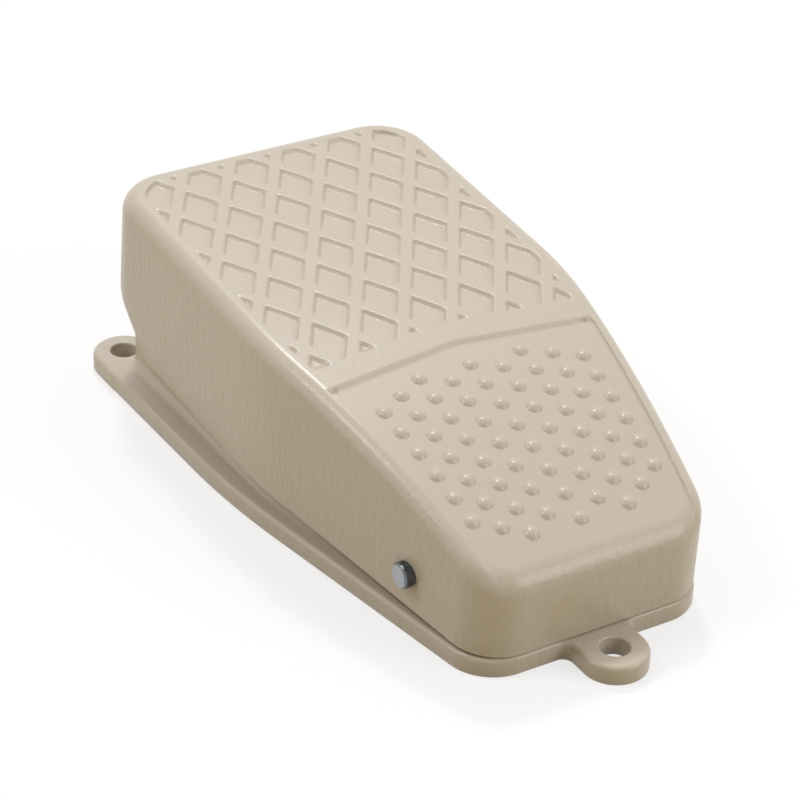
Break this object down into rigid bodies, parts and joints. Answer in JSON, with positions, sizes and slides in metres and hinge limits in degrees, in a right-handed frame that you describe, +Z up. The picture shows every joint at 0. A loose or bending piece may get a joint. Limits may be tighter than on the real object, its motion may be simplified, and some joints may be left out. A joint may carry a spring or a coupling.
{
  "type": "foot switch",
  "caption": "Die-cast foot switch: a tapered treadle with diamond tread and studded heel, hinged on a pin over a flanged base with fixing ears and a cable inlet.",
  "frame": {"origin": "on the underside, midway between the heel hole and the two toe holes, which is the centre of the box", "axes": "+X to the right, +Y towards the wide toe end, +Z up"},
  "size_m": [0.0948, 0.1836, 0.0542],
  "materials": {
    "painted_casting": "semi-gloss beige paint on die-cast aluminium, light orange peel",
    "zinc_plated_steel": "bright zinc plate",
    "spring_steel": "bare spring wire",
    "brass": "bare brass strip",
    "black_rubber": "matt",
    "phenolic": "moulded phenolic",
    "plunger_nylon": "moulded nylon"
  },
  "bodies": {
    "base": {"base_casting": "painted_casting", "hinge_pin": "zinc_plated_steel", "pin_clip": "zinc_plated_steel", "return_spring": "spring_steel", "stop_buffers": "black_rubber", "switch_case": "phenolic", "switch_cover": "phenolic", "terminal_common": "brass", "terminal_no": "brass", "terminal_nc": "brass", "terminal_screws": "zinc_plated_steel", "switch_bracket": "zinc_plated_steel", "switch_screws": "zinc_plated_steel", "switch_nuts": "zinc_plated_steel", "bracket_screws": "zinc_plated_steel", "lever_pin": "zinc_plated_steel", "gland_seal": "black_rubber", "gland_washer": "zinc_plated_steel", "gland_screw": "zinc_plated_steel", "cord_clamp": "zinc_plated_steel", "clamp_screws": "zinc_plated_steel", "earth_screw": "brass", "earth_washer": "brass"},
    "treadle": {"treadle_casting": "painted_casting", "adjusting_screw": "zinc_plated_steel", "adjusting_nut": "zinc_plated_steel"},
    "lever": {"switch_lever": "zinc_plated_steel"},
    "plunger": {"switch_plunger": "plunger_nylon"},
    "blade": {"contact_blade": "brass"}
  },
  "joints": [
    {"name": "treadle_press", "type": "hinge", "parent": "base", "child": "treadle", "pos_m": [0, -0.051, 0.016], "axis": [-1, 0, 0], "range_deg": [0, 4], "stiffness_Nm_per_rad": 34, "springref_deg": -2.58, "deforming": ["return_spring"]},
    {"name": "lever_press", "type": "hinge", "parent": "base", "child": "lever", "pos_m": [0, -0.03, 0.0266], "axis": [-1, 0, 0], "range_deg": [0, 6]},
    {"name": "plunger_press", "type": "slide", "parent": "base", "child": "plunger", "axis": [0, 0, -1], "range_m": [0, 0.0013]},
    {"name": "contact_throw", "type": "hinge", "parent": "base", "child": "blade", "pos_m": [0, -0.03, 0.017], "axis": [-1, 0, 0], "range_deg": [0, 0.8]}
  ],
  "couplings": [
    {"joint": "lever_press", "follows": "treadle_press", "ratio": 1.4773},
    {"joint": "plunger_press", "follows": "treadle_press", "m_per_rad": 0.017727},
    {"joint": "contact_throw", "follows": "treadle_press", "ratio": 0.19}
  ]
}
